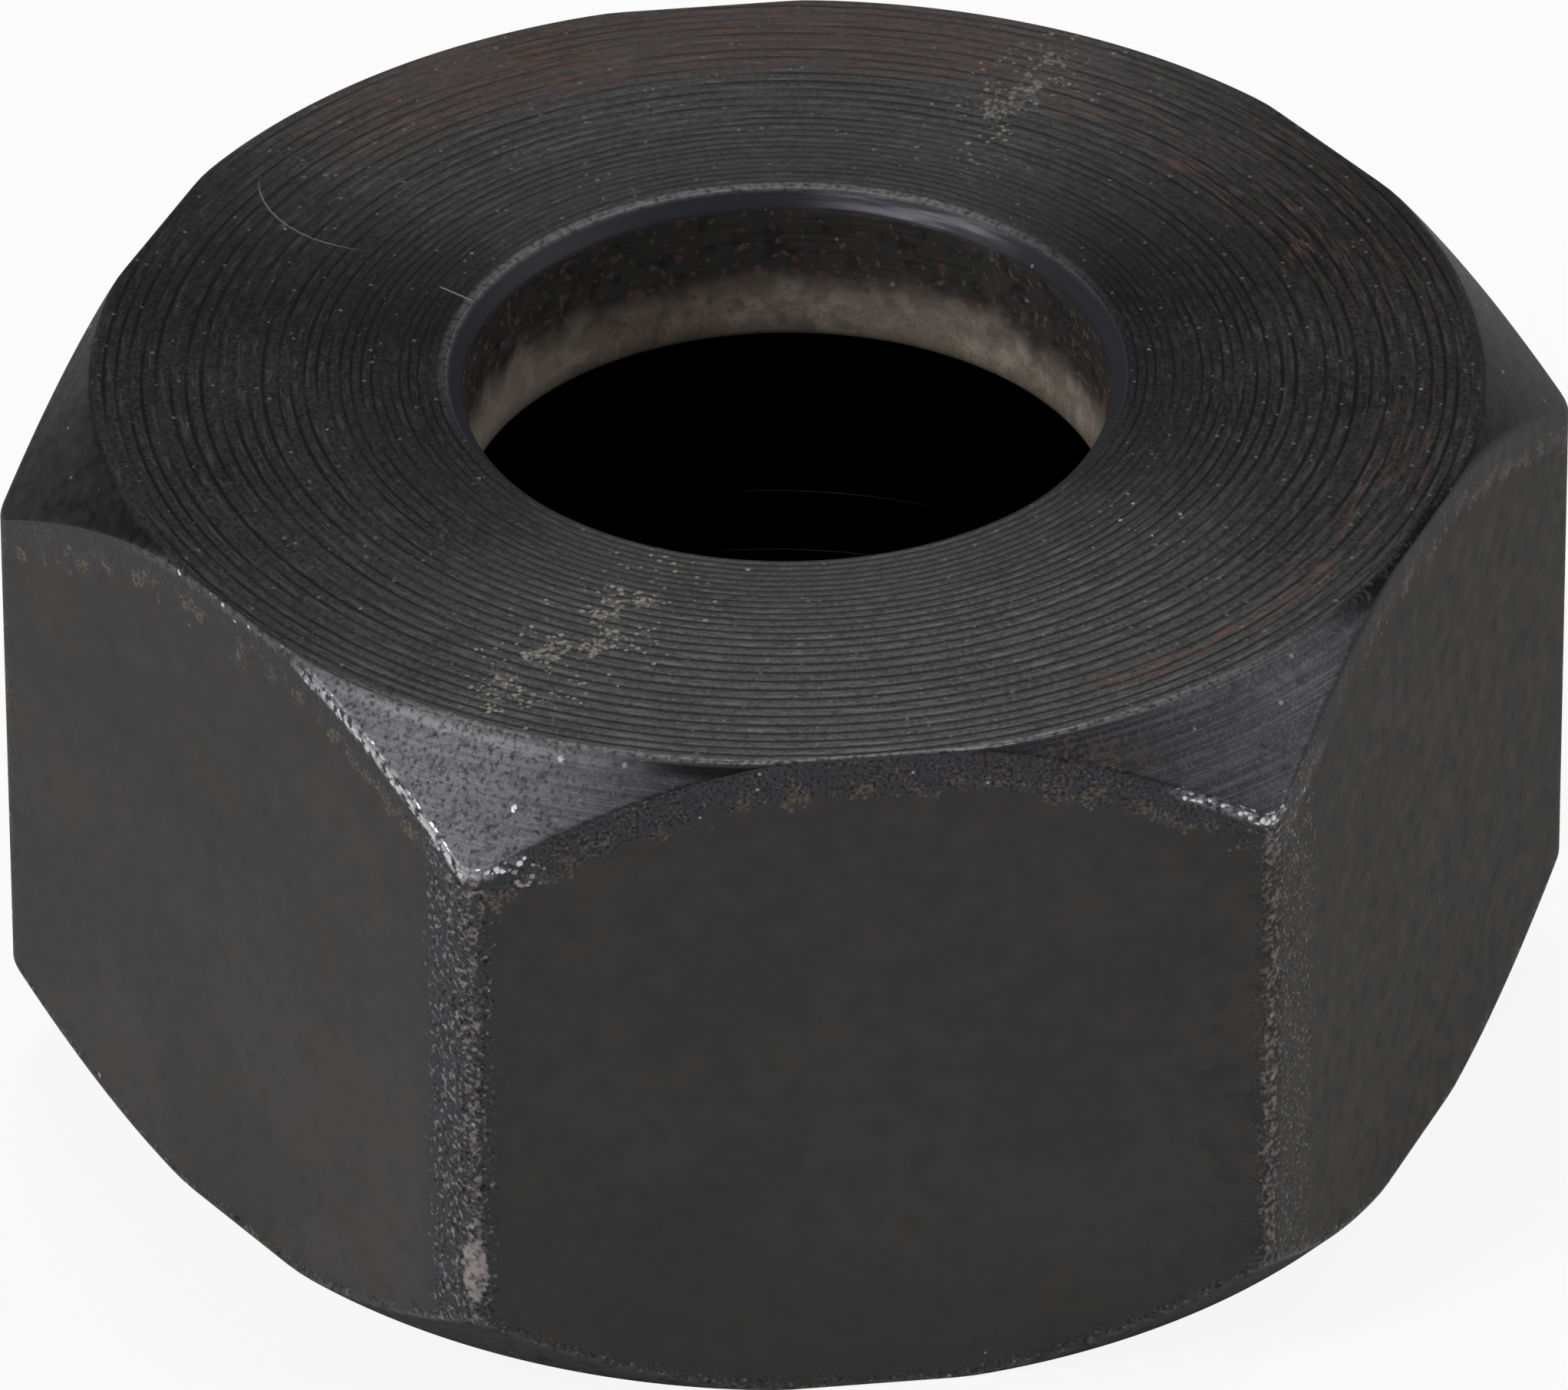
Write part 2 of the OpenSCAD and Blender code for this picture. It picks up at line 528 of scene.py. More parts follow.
    def grain_round_axis(self, strength):
        """Microscopic grooves round the axis, which spread reflections across themselves."""
        quarter_turn = 0.25
        tangent = self.node("Tangent", direction_type="RADIAL", axis="Z")
        self.feed(self.surface.inputs["Tangent"], tangent.outputs[0])
        self.feed(self.surface.inputs["Anisotropic"], strength)
        self.feed(self.surface.inputs["Anisotropic Rotation"], quarter_turn)

    def finished(self):
        for name, value in self.looks.items():
            self.feed(self.surface.inputs[name], value)
        if self.normal is not None:
            self.feed(self.surface.inputs["Normal"], self.normal)
        return self.material


# Wear along edges
def edge_beads(finish):
    """A pattern that breaks the bare line along an edge into beads."""
    return finish.noise(0.09, finish.shifted(6.0), detail=3.0)


def burnish_edges(finish):
    """Bare steel in beads along the edges between flats and bevels: bright in two places at the front."""
    below_edge = finish.math("SUBTRACT", finish.distance("from_top_edge"), 0.05)
    top_edge = finish.fade(finish.math("ABSOLUTE", below_edge), 0.15, 0.04)
    rubbed = finish.fade(finish.noise(0.11, finish.shifted(12.0), detail=3.0), 0.38, 0.6)
    whole_left = finish.times(finish.sector(LEFT_EDGE - 22, 26), 0.14)
    left_edge = finish.times(top_edge, finish.largest(finish.sector(LEFT_EDGE - 9, 14), whole_left))
    right_edge = finish.times(top_edge, finish.spot(centre=(4.9, -9.45, 9.15), reach=(1.2, 0.6, 0.8)))
    finish.cover(finish.times(left_edge, rubbed, 0.85), BRIGHT_STEEL, 0.35, 1.0)
    finish.cover(finish.times(right_edge, rubbed, 0.4), BRIGHT_STEEL, 0.35, 1.0)
    edges = finish.largest(left_edge, right_edge)
    finish.cover(finish.specks(0.08, 0.075, finish.times(edges, 0.9), seed=13.0), BRIGHT_STEEL, 0.3, 1.0)
    foot_edge = finish.close_to("from_foot_edge", 0.12)
    finish.cover(finish.times(foot_edge, rubbed, 0.35), GREY_STEEL, 0.4, 1.0)


# Top face
FACED_STEEL = (0.0142, 0.0142, 0.0154)
FACE_GRAIN = (0.026, 0.026, 0.027)
FACE_PAINTED_GLINTS = (0.036, 0.036, 0.036)
BROWN_TINT = (0.034, 0.021, 0.017)
BEIGE_DIRT = (0.21, 0.20, 0.158)
PALE_DIRT = (0.14, 0.134, 0.12)


def draw_passes(face):
    """Grain, dark lines that are partly dirt and partly painted shade, and short painted glints along the
    tool's passes, and duller stretches of the face.
    """
    line = face.distance("line")
    clouds = face.noise(1.8, face.shifted(3.0), detail=4.0)
    grain = face.noise(0.06, face.shifted(2.0), detail=3.0)
    face.cover(face.times(face.fade(clouds, 0.5, 0.68), 0.4), BLACK, specular=0.2)
    face.cover(face.times(face.fade(grain, 0.5, 0.64), 0.7), FACE_GRAIN, specular=0.52)
    face.cover(face.times(face.fade(grain, 0.47, 0.34), 0.6), BLACK, specular=0.16)
    stretches = face.noise(1.0, face.ring_place(2.4, 0.2))
    drawn = face.largest(face.fade(stretches, 0.34, 0.58), face.times(face.sector(FRONT, 75), 0.95))
    # partly painted shade: dark lines in the grooves between passes, strongest at the front, partly dirt
    face.cover(face.times(face.fade(line, 0.0, 0.7), drawn, 0.8), BLACK, 0.45, specular=0.1)
    # painted highlight: short light glints on the crowns of the passes
    painted_glints = face.fade(face.noise(1.0, face.ring_place(0.4, 0.06)), 0.53, 0.7)
    face.cover(face.times(face.fade(line, 0.5, 0.0), painted_glints, 0.85), FACE_PAINTED_GLINTS, specular=0.6)
    face.cover(face.times(face.fade(face.r, 7.0, 5.0), 0.35), BLACK, specular=0.2)
    dull = face.largest(
        face.sector(BACK_RIGHT + 4, 34),
        face.sector(BACK_LEFT, 24),
        face.times(face.sector(BACK, 70), 0.85),
        face.times(face.sector(LEFT_EDGE - 8, 24), 0.3),
    )
    face.cover(face.times(dull, 0.45), BLACK, specular=0.12)


def rust_face(face):
    """Rust in streaks round the axis, most at the back, the right and the front right."""
    back = face.patch(angle=BACK + 2, spread=48, inner_r=7.7, outer_r=9.6)
    front = face.patch(angle=RIGHT_EDGE + 4, spread=20, inner_r=8.6, outer_r=9.0)
    zone = face.largest(
        back,
        face.times(face.patch(angle=BACK_RIGHT + 4, spread=38, inner_r=7.3, outer_r=9.3), 0.7),
        face.times(face.patch(angle=RIGHT + 2, spread=22, inner_r=8.3, outer_r=9.1), 0.8),
        front,
    )
    streaks = face.noise(1.0, face.ring_place(0.5, 0.06), detail=3.0)
    rusty = face.math("ADD", streaks, face.times(front, 0.1))
    face.cover(face.times(back, 0.5), BROWN_TINT, 0.5)
    face.cover(face.times(zone, face.fade(rusty, 0.48, 0.64), 0.65), RUST, 0.6)
    face.cover(face.times(zone, face.fade(rusty, 0.58, 0.7), 0.6), PALE_RUST, 0.7, specular=0.2)
    face.cover(face.times(face.fade(rusty, 0.66, 0.76), 0.4), RUST, 0.6)


def soil_face(face):
    """Two scrapes of pale dirt in clumps, and dust."""
    clumps = face.fade(face.noise(0.55, face.shifted(5.0), detail=3.0), 0.36, 0.58)
    for start, end, colour in (
        ((-5.2, -7.8), (-2.0, -4.9), BEIGE_DIRT),
        ((5.0, 7.9), (3.2, 5.6), PALE_DIRT),
    ):
        scrape = face.times(face.scrape(start, end, half_width=1.3), clumps)
        flecks = face.flecks(0.08, face.times(scrape, 0.72), seed=3.0, softness=0.24)
        face.cover(flecks, colour, 0.8, specular=0.2)
        face.cover(face.specks(0.09, 0.06, face.times(scrape, 0.8), seed=4.0), colour, 0.8, specular=0.2)
    whitish = face.spot(centre=(4.4, -4.3, HEIGHT), reach=(1.1, 1.1, 1.0))
    face.cover(face.specks(0.2, 0.05, face.times(whitish, 0.5), seed=5.0), DUST, 0.8)
    face.cover(face.times(face.specks(0.15, 0.045, 0.4, seed=7.0), 0.2), DUST, 0.8)
    face.cover(face.times(face.specks(0.5, 0.045, 0.2, seed=8.0), 0.4), DUST, 0.8)


def wear_face_edges(face):
    """A bare line in beads along the front edge and behind the bore, and a black stretch at the right."""
    beads = edge_beads(face)
    front_edge = face.times(face.close_to("from_face_edge", 0.08), face.sector(FRONT - 2, 48))
    face.cover(face.times(front_edge, face.fade(beads, 0.34, 0.6)), RUBBED_STEEL, 0.45, 1.0)
    # black along the face's edge above the right flat, where the bevel narrows
    black_right_stretch = face.times(face.close_to("from_face_edge", 0.16), face.sector(RIGHT - 5, 14))
    face.cover(face.times(black_right_stretch, face.fade(beads, 0.3, 0.5), 0.9), BLACK, 0.6, specular=0.05)
    from_rim = face.math("ABSOLUTE", face.distance("from_rim"))
    bore_edge = face.times(face.fade(from_rim, 0.17, 0.0), face.sector(BACK + 10, 100))
    face.cover(face.times(bore_edge, face.fade(beads, 0.26, 0.64), 0.85), DULL_STEEL, 0.5, 0.5)


def lay_lint(face):
    """One curved lint fibre, and a short straight one at the bore."""
    lint_r = 1.85
    lint_centre = (-4.885, 5.528, HEIGHT)
    lint_half_width = 0.02
    from_centre = face.vector("LENGTH", face.vector("SUBTRACT", face.place, lint_centre))
    from_lint = face.math("ABSOLUTE", face.math("SUBTRACT", from_centre, lint_r))
    lint_stretch = face.spot(centre=(-6.4, 4.5, HEIGHT), reach=(1.3, 1.5, 1.0))
    face.cover(face.times(face.fade(from_lint, lint_half_width, 0.0), lint_stretch, 0.35), DUST, 0.8)
    face.cover(face.times(face.scrape(start=(-4.5, 2.7), end=(-4.1, 2.3), half_width=0.025), 0.5), DUST, 0.8)


def turned_face():
    """Top face: black, turned in narrow passes, with rust, scrapes of dirt, worn edges and lint."""
    face = Finish("turned_face", FACED_STEEL, 0.38, 0.38)
    face.grain_round_axis(0.88)
    draw_passes(face)
    rust_face(face)
    soil_face(face)
    wear_face_edges(face)
    lay_lint(face)
    face.relief(face.noise(1.0, face.ring_place(2.5, 0.03)), 0.002)
    return face.finished()


# Bevels and underside
BEVEL_BLACK = (0.0085, 0.0085, 0.0095)
BROWN_MOTTLES = (0.032, 0.029, 0.024)
DARK_MOTTLES = (0.03, 0.03, 0.032)
LIGHT_GRAIN = (0.135, 0.135, 0.14)
LOWER_GREY = (0.075, 0.074, 0.076)
BARE_STEEL = (0.045, 0.046, 0.053)
BARE_LIGHT_LINES = (0.135, 0.135, 0.144)
BARE_DARK_LINES = (0.032, 0.032, 0.036)
LEFT_STEEL_AND_LIGHT = (0.078, 0.078, 0.082)
LEFT_BAND_AND_LIGHT = (0.145, 0.145, 0.152)
RIGHT_STEEL = (0.057, 0.057, 0.063)
RIGHT_LIGHT_LINES = (0.118, 0.118, 0.128)
RIGHT_DARK_LINES = (0.028, 0.028, 0.032)
BROWN = (0.085, 0.060, 0.040)
BARE = {"roughness": 0.45, "metallic": 1.0}


def bare_front_corners(bevel, lines, grain, mottles):
    """Bare steel with turning lines at the upper bevel's front corners, palest and pitted at the left, where
    the paleness is partly wear and partly painted light.
    """
    upper_end = bevel.fade(bevel.z, 0.4 * HEIGHT, 0.6 * HEIGHT)
    bare = bevel.times(bevel.sector(LEFT_EDGE - 2, 33), upper_end)
    front_left = bevel.times(bevel.sector(LEFT_EDGE - 11, 28), upper_end)
    front_right = bevel.times(bevel.sector(RIGHT_EDGE - 6, 33), upper_end)
    bevel.cover(bare, BARE_STEEL, **BARE)
    # partly painted light: the front-left corner and its upper band paler than the front-right corner, partly
    # worn bare
    bevel.cover(front_left, LEFT_STEEL_AND_LIGHT, **BARE)
    bevel.cover(bevel.times(bare, bevel.fade(lines, 0.5, 0.64), 0.35), BARE_LIGHT_LINES, **BARE)
    bevel.cover(bevel.times(bare, bevel.fade(lines, 0.46, 0.32), 0.4), BARE_DARK_LINES, **BARE)
    bevel.cover(front_right, RIGHT_STEEL, **BARE)
    bevel.cover(bevel.times(front_right, bevel.fade(lines, 0.5, 0.64), 0.55), RIGHT_LIGHT_LINES, **BARE)
    bevel.cover(bevel.times(front_right, bevel.fade(lines, 0.47, 0.34), 0.5), RIGHT_DARK_LINES, **BARE)
    past_edge = bevel.distance("from_face_edge")
    upper_band = bevel.times(bevel.fade(past_edge, 0.07, 0.14), bevel.fade(past_edge, 0.3, 0.18), front_left)
    bevel.cover(bevel.times(upper_band, 0.6), LEFT_BAND_AND_LIGHT, **BARE)
    both = bevel.largest(bare, front_right)
    bevel.cover(bevel.times(both, bevel.fade(grain, 0.52, 0.66), 0.4), LIGHT_GRAIN, **BARE)
    bevel.cover(bevel.times(both, bevel.fade(mottles, 0.48, 0.34), 0.3), DARK_MOTTLES, 0.5, 1.0)
    pitted = bevel.math("ADD", bevel.times(front_left, 0.3), 0.34)
    bevel.cover(bevel.times(bevel.flecks(0.07, pitted, seed=1.0, softness=0.4), 0.65), PIT, 0.7, 0.0, 0.1)


def soil_bevel(bevel, grain):
    """Rust, brown grains above the front flat, dust, and two bright chips at the front left."""
    bevel.cover(bevel.times(bevel.flecks(0.11, 0.4, seed=2.0, softness=0.2), 0.4), RUST, 0.8, 0.0, 0.2)
    grainy = bevel.times(bevel.spot(centre=(2.9, -9.4, 10.0), reach=(1.9, 0.8, 0.5)), 0.62)
    bevel.cover(bevel.times(bevel.flecks(0.08, grainy, seed=5.0, softness=0.2), 0.8), BROWN, 0.7, 0.0, 0.2)
    bevel.cover(bevel.times(bevel.specks(0.3, 0.05, 0.4, seed=4.0), 0.6), DUST, 0.6, 0.0)
    chip_reach = (0.05, 0.05, 0.12)
    chips = bevel.largest(
        bevel.spot(centre=(-4.784, -9.045, 9.664), reach=chip_reach),
        bevel.times(bevel.spot(centre=(-4.119, -8.792, 10.245), reach=chip_reach), 0.4),
    )
    bevel.cover(bevel.times(chips, bevel.fade(grain, 0.36, 0.52)), BRIGHT_STEEL, 0.4, 1.0)


def wear_bevel_rim(bevel):
    """Next to the top face: a painted shadow in a dark stretch left of the front, a bare line in beads along
    the front, and a black stretch at the right.
    """
    past_edge = bevel.distance("from_face_edge")
    outer_side = bevel.fade(past_edge, 0.3, 0.18)
    inner_side = bevel.fade(past_edge, 0.05, 0.1)
    # painted shadow: black on the bevel just below the top face's edge, a little left of the front
    painted_shadow_stretch = bevel.times(bevel.sector(FRONT - 11, 9), outer_side, inner_side)
    bevel.cover(bevel.times(painted_shadow_stretch, 0.85), BLACK, 0.6, 0.0, 0.05)
    beads = edge_beads(bevel)
    front_rim = bevel.times(bevel.fade(past_edge, 0.06, 0.02), bevel.sector(FRONT - 2, 48))
    bevel.cover(bevel.times(front_rim, bevel.fade(beads, 0.34, 0.6)), RUBBED_STEEL, **BARE)
    black_right_stretch = bevel.times(bevel.fade(past_edge, 0.3, 0.1), bevel.sector(RIGHT - 5, 14))
    bevel.cover(bevel.times(black_right_stretch, bevel.fade(beads, 0.3, 0.5), 0.9), BLACK, 0.6, 0.0, 0.05)


def turned_bevel():
    """End bevels and underside: black with fine turning lines and mottles, bare at the front corners."""
    bevel = Finish("turned_bevel", BEVEL_BLACK, 0.45, 0.12)
    lines = bevel.noise(1.0, bevel.ring_place(2.0, 0.025), detail=3.0)
    grain = bevel.noise(0.05, bevel.shifted(1.5), detail=4.0)
    mottles = bevel.noise(0.22, bevel.shifted(9.0), detail=5.0)
    lower_end = bevel.fade(bevel.z, 0.6 * HEIGHT, 0.4 * HEIGHT)
    bevel.cover(bevel.times(bevel.fade(mottles, 0.5, 0.66), 0.4), BROWN_MOTTLES)
    bevel.cover(bevel.times(bevel.fade(mottles, 0.48, 0.34), 0.5), BLACK, specular=0.05)
    bevel.cover(bevel.times(bevel.sector(FAR_RIGHT_EDGE + 4, 34), 0.35), BLACK, specular=0.06)
    bevel.cover(lower_end, LOWER_GREY, 0.8, specular=0.02)
    bevel.cover(bevel.times(lower_end, bevel.fade(mottles, 0.5, 0.36), 0.5), PIT)
    bare_front_corners(bevel, lines, grain, mottles)
    soil_bevel(bevel, grain)
    wear_bevel_rim(bevel)
    burnish_edges(bevel)
    bevel.relief(lines, 0.003)
    bevel.relief(grain, 0.0015)
    return bevel.finished()


# Flats and upright edges
FLAT_GREY = (0.0665, 0.0645, 0.067)
LEFT_GREY = (0.085, 0.0815, 0.0815)
FRONT_GREY = (0.072, 0.072, 0.0755)
RIGHT_GREY = (0.0595, 0.0572, 0.054)
RIGHT_SHADE_GREY = (0.046, 0.046, 0.048)
WARM_MOTTLES = (0.079, 0.075, 0.067)
COOL_MOTTLES = (0.060, 0.0595, 0.061)
LIGHT_SPECKLE = (0.086, 0.078, 0.067)
DARK_SPECKLE = (0.042, 0.042, 0.044)
BROWN_HAZE = (0.064, 0.059, 0.054)
BAND_GREY = (0.050, 0.0498, 0.055)
BAND_GRAIN = (0.160, 0.154, 0.148)
GOLD_BROWN = (0.150, 0.118, 0.085)
LEFT_WEAR_GREY = (0.056, 0.056, 0.062)
RIGHT_WEAR_BROWN = (0.05, 0.042, 0.034)
EDGE_BLACK = (0.020, 0.020, 0.022)
WORN_STEEL = (0.23, 0.228, 0.23)
PINK_STEEL = (0.27, 0.245, 0.24)
PALE_PINK_STEEL = (0.37, 0.325, 0.32)


def tint_flats(flat, right_side):
    """Paler towards the foot on the left and the front flat, partly dust and partly painted light; darker on
    the right one, with painted shade below its top edge; and mottles on all.
    """
    # partly painted light: the left and the front flat paler towards the foot, partly brownish dust
    dust_and_light_towards_foot = flat.fade(flat.z, 8.0, 0.5)
    flat.cover(flat.times(flat.sector(LEFT, 42), dust_and_light_towards_foot), LEFT_GREY)
    flat.cover(flat.times(flat.sector(FRONT, 42), dust_and_light_towards_foot), FRONT_GREY)
    flat.cover(flat.times(right_side, 0.8), RIGHT_GREY)
    # painted shade: the right flat darker below its top edge
    painted_shade_below_edge = flat.fade(flat.math("ABSOLUTE", flat.distance("from_top_edge")), 1.3, 0.3)
    flat.cover(flat.times(right_side, painted_shade_below_edge, 0.5), RIGHT_SHADE_GREY)
    flat.cover(flat.times(flat.fade(flat.noise(1.6, detail=5.0), 0.48, 0.68), 0.6), WARM_MOTTLES)
    flat.cover(flat.times(flat.fade(flat.noise(2.6), 0.55, 0.4), 0.4), COOL_MOTTLES)


def speckle_bands(flat, speckle):
    """Pits, light grains and rust in uneven bands along the bevels and the upright edges."""
    uneven = flat.math("MULTIPLY", flat.noise(0.3, detail=4.0), 0.4)
    grain = flat.noise(0.05, flat.shifted(4.0), detail=3.0)
    top_band = flat.math("ADD", flat.math("ABSOLUTE", flat.distance("from_top_edge")), uneven)
    foot_band = flat.math("ADD", flat.math("ABSOLUTE", flat.distance("from_foot_edge")), uneven)
    corner_band = flat.math("ADD", flat.distance("from_corner"), uneven)
    front = flat.sector(FRONT, 45)
    under_bevel = flat.times(flat.fade(top_band, 0.9, 0.74), flat.math("ADD", flat.times(front, 0.7), 0.3))
    over_foot = flat.times(flat.fade(foot_band, 0.5, 0.3), 0.7)
    upright = flat.times(flat.fade(corner_band, 0.6, 0.35), 0.6)
    left_wear = flat.sector(LEFT_EDGE - 1.5, 4.6)
    right_wear = flat.sector(RIGHT_EDGE + 3, 6)
    haze = flat.fade(flat.noise(0.5, flat.shifted(7.0), detail=4.0), 0.36, 0.6)
    flat.cover(flat.times(flat.fade(top_band, 2.0, 0.8), haze, 0.5), BROWN_HAZE)
    flat.cover(under_bevel, BAND_GREY, 0.6, specular=0.2)
    flat.cover(flat.times(left_wear, 0.6), LEFT_WEAR_GREY)

    band = flat.largest(under_bevel, over_foot, upright)
    border = flat.times(flat.fade(top_band, 1.1, 0.8), flat.fade(top_band, 0.4, 0.7))
    patches = flat.fade(speckle, 0.38, 0.6)
    scattered = flat.times(border, patches)
    flat.cover(flat.times(band, flat.fade(grain, 0.48, 0.34), 0.85), PIT, 0.7, specular=0.1)
    light_grains = flat.times(band, flat.fade(grain, 0.53, 0.68), patches)
    flat.cover(flat.times(light_grains, 0.75), BAND_GRAIN, 0.5, specular=0.2)
    flat.cover(flat.flecks(0.09, flat.times(band, 0.42), seed=5.0, softness=0.12), RUST, 0.8, specular=0.1)
    gold_flecks = flat.flecks(0.05, flat.times(scattered, 0.68), seed=1.0, softness=0.2)
    flat.cover(gold_flecks, GOLD_BROWN, 0.7, specular=0.2)
    flat.cover(flat.specks(0.09, 0.06, flat.times(scattered, 0.4), seed=2.0), GOLD_BROWN, 0.7, specular=0.2)
    flat.cover(flat.flecks(0.07, flat.times(left_wear, 0.54), seed=14.0, softness=0.2), PIT, 0.6)
    left_flecks = flat.flecks(0.08, flat.times(left_wear, 0.52), seed=3.0, softness=0.2)
    flat.cover(left_flecks, WORN_STEEL, 0.5, specular=0.3)
    flat.cover(flat.flecks(0.09, flat.times(right_wear, 0.56), seed=9.0, softness=0.2), RIGHT_WEAR_BROWN, 0.6)
    right_flecks = flat.flecks(0.06, flat.times(right_wear, 0.46), seed=10.0, softness=0.2)
    flat.cover(right_flecks, WORN_STEEL, 0.5, specular=0.2)
    flat.cover(flat.specks(0.26, 0.06, flat.times(band, 0.3), seed=6.0), DUST, 0.5)


def wear_corners(flat):
    """Bare flecks on the two front upright edges, a dark top edge at the right, chips and a worn foot."""
    corner = flat.fade(flat.distance("from_corner"), 0.3, 0.08)
    front_corners = flat.largest(flat.sector(RIGHT_EDGE, 10), flat.times(flat.sector(LEFT_EDGE, 10), 0.84))
    worn_corner = flat.times(corner, front_corners)
    flat.cover(flat.flecks(0.09, flat.times(worn_corner, 0.72), seed=7.0, softness=0.3), PINK_STEEL, 0.5)
    dark_edge = flat.times(flat.close_to("from_top_edge", 0.14), flat.sector(RIGHT - 2, 26))
    flat.cover(flat.times(dark_edge, 0.75), EDGE_BLACK, 0.6, specular=0.1)
    chips = flat.spot(centre=(-4.65, -9.5, 8.86), reach=(0.4, 0.2, 0.25))
    flat.cover(flat.specks(0.08, 0.07, flat.times(chips, 0.7), seed=15.0), WORN_STEEL, 0.4, 1.0)

    corner_reach = ARC_REACH + CORNER_R
    front_left = math.radians(LEFT_EDGE)
    foot_of_edge = (corner_reach * math.cos(front_left), corner_reach * math.sin(front_left), 2.4)
    bare = flat.spot(centre=foot_of_edge, reach=(0.3, 0.3, 0.75))
    flat.cover(flat.flecks(0.1, bare, seed=8.0, softness=0.3), PALE_PINK_STEEL, 0.6)
    foot_wear = flat.fade(flat.math("ABSOLUTE", flat.distance("from_foot_edge")), 0.3, 0.1)
    flat.cover(flat.flecks(0.1, flat.times(foot_wear, 0.46), seed=16.0, softness=0.2), PIT, 0.6)
    flat.cover(flat.flecks(0.07, flat.times(foot_wear, 0.46), seed=17.0, softness=0.2), WORN_STEEL, 0.6)


def drawn_flat():
    """Flats and upright edges: matt and softly mottled, speckled along the bevels, with worn edges."""
    flat = Finish("drawn_flat", FLAT_GREY, 0.65, 0.05)
    right_side = flat.sector(RIGHT + 2, 42)
    tint_flats(flat, right_side)
    speckle = flat.noise(0.32, flat.shifted(11.0), detail=6.0)
    speckled = flat.math("ADD", flat.times(right_side, 0.7), 0.3)
    flat.cover(flat.times(speckled, flat.fade(speckle, 0.5, 0.66), 0.75), LIGHT_SPECKLE)
    flat.cover(flat.times(speckled, flat.fade(speckle, 0.48, 0.34), 0.75), DARK_SPECKLE)
    speckle_bands(flat, speckle)
    wear_corners(flat)
    burnish_edges(flat)
    flat.relief(flat.noise(0.07, detail=3.0), 0.003)
    return flat.finished()


# Bore and its rim
WALL_GREY = (0.040, 0.039, 0.0385)
WALL_BROWN = (0.054, 0.047, 0.043)
WALL_LINES = (0.012, 0.0118, 0.0116)
WALL_BLOTCHES = (0.009, 0.0088, 0.0087)
RUBBED_BAND = (0.250, 0.214, 0.178)
RUBBED_MOTTLES = (0.390, 0.340, 0.285)
RUBBED_BLOTCHES = (0.130, 0.108, 0.088)
RUBBED_GRAIN = (0.11, 0.092, 0.074)
RUBBED_LEFT = (0.300, 0.262, 0.219)
LOW_BROWN = (0.085, 0.062, 0.038)
SHADED_LOW_EDGE = (0.008, 0.006, 0.004)
PINK_RUST = (0.190, 0.110, 0.085)
RIM_BLUE_BLACK = (0.023, 0.023, 0.029)
RIM_STREAKS_AND_HIGHLIGHT = (0.10, 0.10, 0.108)


def rub_wall(wall, mottles, blotches):
    """A bare, brownish band above the collet seat, where shanks rub, and rust on the wall above it."""
    grain = wall.noise(0.07, wall.shifted(5.0), detail=3.0)
    wavy_z = wall.math("ADD", wall.z, wall.math("MULTIPLY", wall.noise(0.9, detail=4.0), 0.9))
    rubbed = wall.fade(wavy_z, SEAT_TOP_Z + 1.65, SEAT_TOP_Z + 0.85)
    wall.cover(rubbed, RUBBED_BAND, 0.6)
    wall.cover(wall.times(rubbed, wall.fade(mottles, 0.45, 0.65), 0.8), RUBBED_MOTTLES, 0.6)
    wall.cover(wall.times(rubbed, wall.fade(blotches, 0.5, 0.7), 0.7), RUBBED_BLOTCHES, 0.6)
    wall.cover(wall.times(rubbed, wall.fade(grain, 0.56, 0.3), 0.45), RUBBED_GRAIN, 0.6)
    wall.cover(wall.times(rubbed, wall.sector(BACK_LEFT + 15, 50), 0.6), RUBBED_LEFT, 0.6)
    wall.cover(wall.times(wall.fade(wall.z, SEAT_TOP_Z + 0.34, SEAT_TOP_Z), 0.65), LOW_BROWN, 0.7)
    # painted shade: near-black along the wall's lower edge, where it turns under towards the seat
    wall.cover(wall.fade(wall.z, SEAT_TOP_Z + 0.1, SEAT_TOP_Z - 0.05), SHADED_LOW_EDGE, 0.7, specular=0.05)
    unrubbed = wall.fade(rubbed, 0.9, 0.2)
    rust_flecks = wall.times(wall.flecks(0.15, 0.42, seed=1.0, softness=0.14), unrubbed, 0.7)
    wall.cover(rust_flecks, PINK_RUST, 0.8, specular=0.1)
    wall.cover(wall.times(wall.specks(0.2, 0.1, wall.times(unrubbed, 0.4), seed=2.0), 0.7), PALE_RUST, 0.8)


def wear_rim(wall, lines):
    """A dark bevelled rim with light streaks at the back right, partly bare steel and partly a painted
    highlight, and a bare line in beads along its edge.
    """
    from_rim = wall.distance("from_rim")
    rim_length = RIM_BEVEL * math.sqrt(2)
    rim = wall.fade(from_rim, -1.1 * rim_length, -0.95 * rim_length)
    wall.cover(rim, RIM_BLUE_BLACK, 0.45, specular=0.15)
    # partly painted highlight: light metal streaks on the rim at the back right
    streaks = wall.times(rim, wall.sector(BACK_RIGHT + 30, 24), wall.fade(lines, 0.32, 0.66))
    wall.cover(streaks, RIM_STREAKS_AND_HIGHLIGHT, 0.5, 1.0)
    beads = wall.fade(edge_beads(wall), 0.22, 0.6)
    edge = wall.times(wall.fade(from_rim, -0.11, 0.0), beads, wall.sector(BACK + 10, 100))
    wall.cover(edge, DULL_STEEL, 0.5, 0.5)


